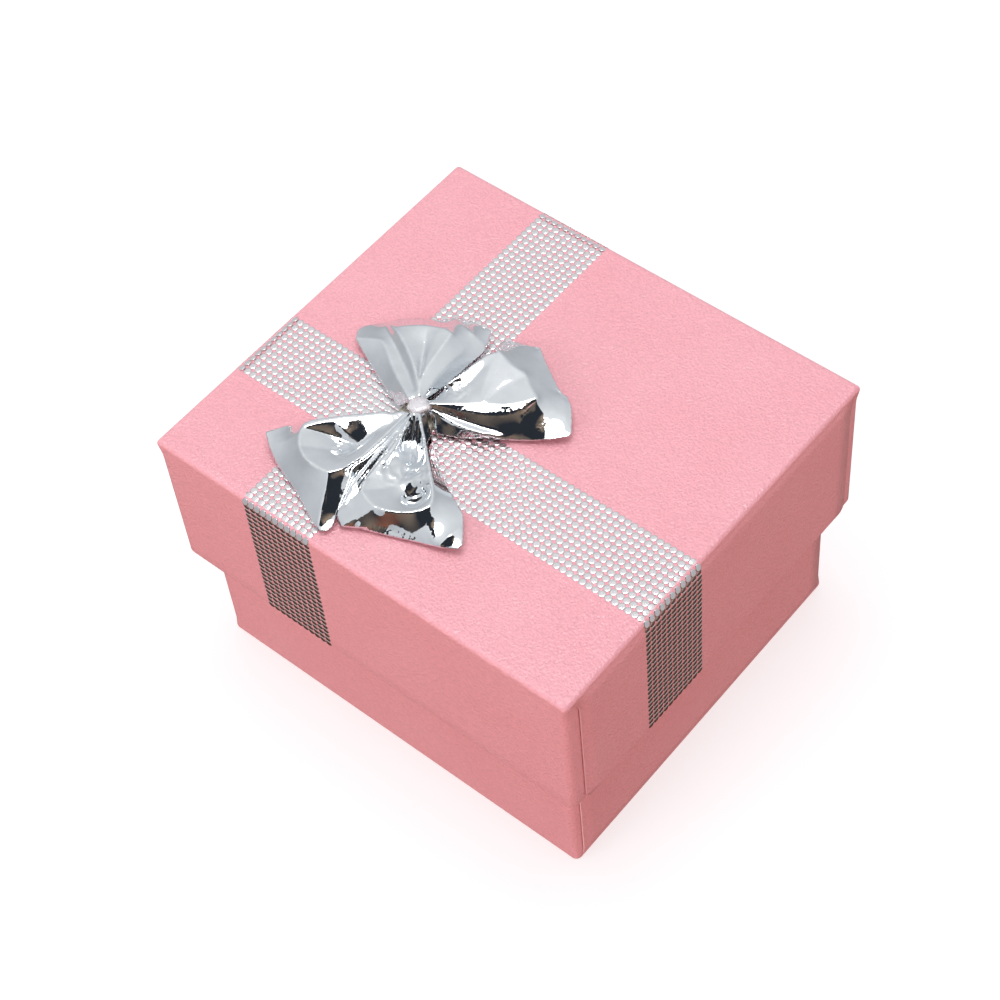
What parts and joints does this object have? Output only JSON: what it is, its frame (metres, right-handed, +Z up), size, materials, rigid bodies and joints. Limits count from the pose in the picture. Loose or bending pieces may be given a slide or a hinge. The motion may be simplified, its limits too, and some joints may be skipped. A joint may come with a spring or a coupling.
{
  "type": "gift box",
  "caption": "Small rigid jewellery gift box: paper-wrapped base with a foam ring pad and a telescoping lift-off lid with dotted foil bands and a mirror-film bow.",
  "frame": {"origin": "the middle of the base's underside, on the table", "axes": "+X along the box's long side, +Y along its short side, +Z up out of the lid's top"},
  "size_m": [0.0502, 0.0452, 0.0369],
  "materials": {
    "wrap_paper": "satin",
    "greyboard": "matte",
    "kraft_paper": "matte",
    "foam": "matte",
    "velvet": "matte",
    "foil": "polished",
    "glue": "gloss",
    "mirror_film": "polished"
  },
  "bodies": {
    "base": {"base_board": "greyboard", "base_corner_stay_1": "kraft_paper", "base_corner_stay_2": "kraft_paper", "base_corner_stay_3": "kraft_paper", "base_corner_stay_4": "kraft_paper", "base_wrap": "wrap_paper", "ring_pad_foam": "foam", "ring_pad_velvet": "velvet"},
    "lid": {"lid_board": "greyboard", "lid_corner_stay_1": "kraft_paper", "lid_corner_stay_2": "kraft_paper", "lid_corner_stay_3": "kraft_paper", "lid_corner_stay_4": "kraft_paper", "lid_wrap": "wrap_paper", "lid_foam": "foam", "foil_band_long": "foil", "foil_band_cross": "foil", "bow_glue": "glue", "bow_film": "mirror_film"}
  },
  "joints": [
    {"name": "lid_lift", "type": "slide", "parent": "base", "child": "lid", "axis": [0, 0, 1], "range_m": [0, 0.035]}
  ]
}
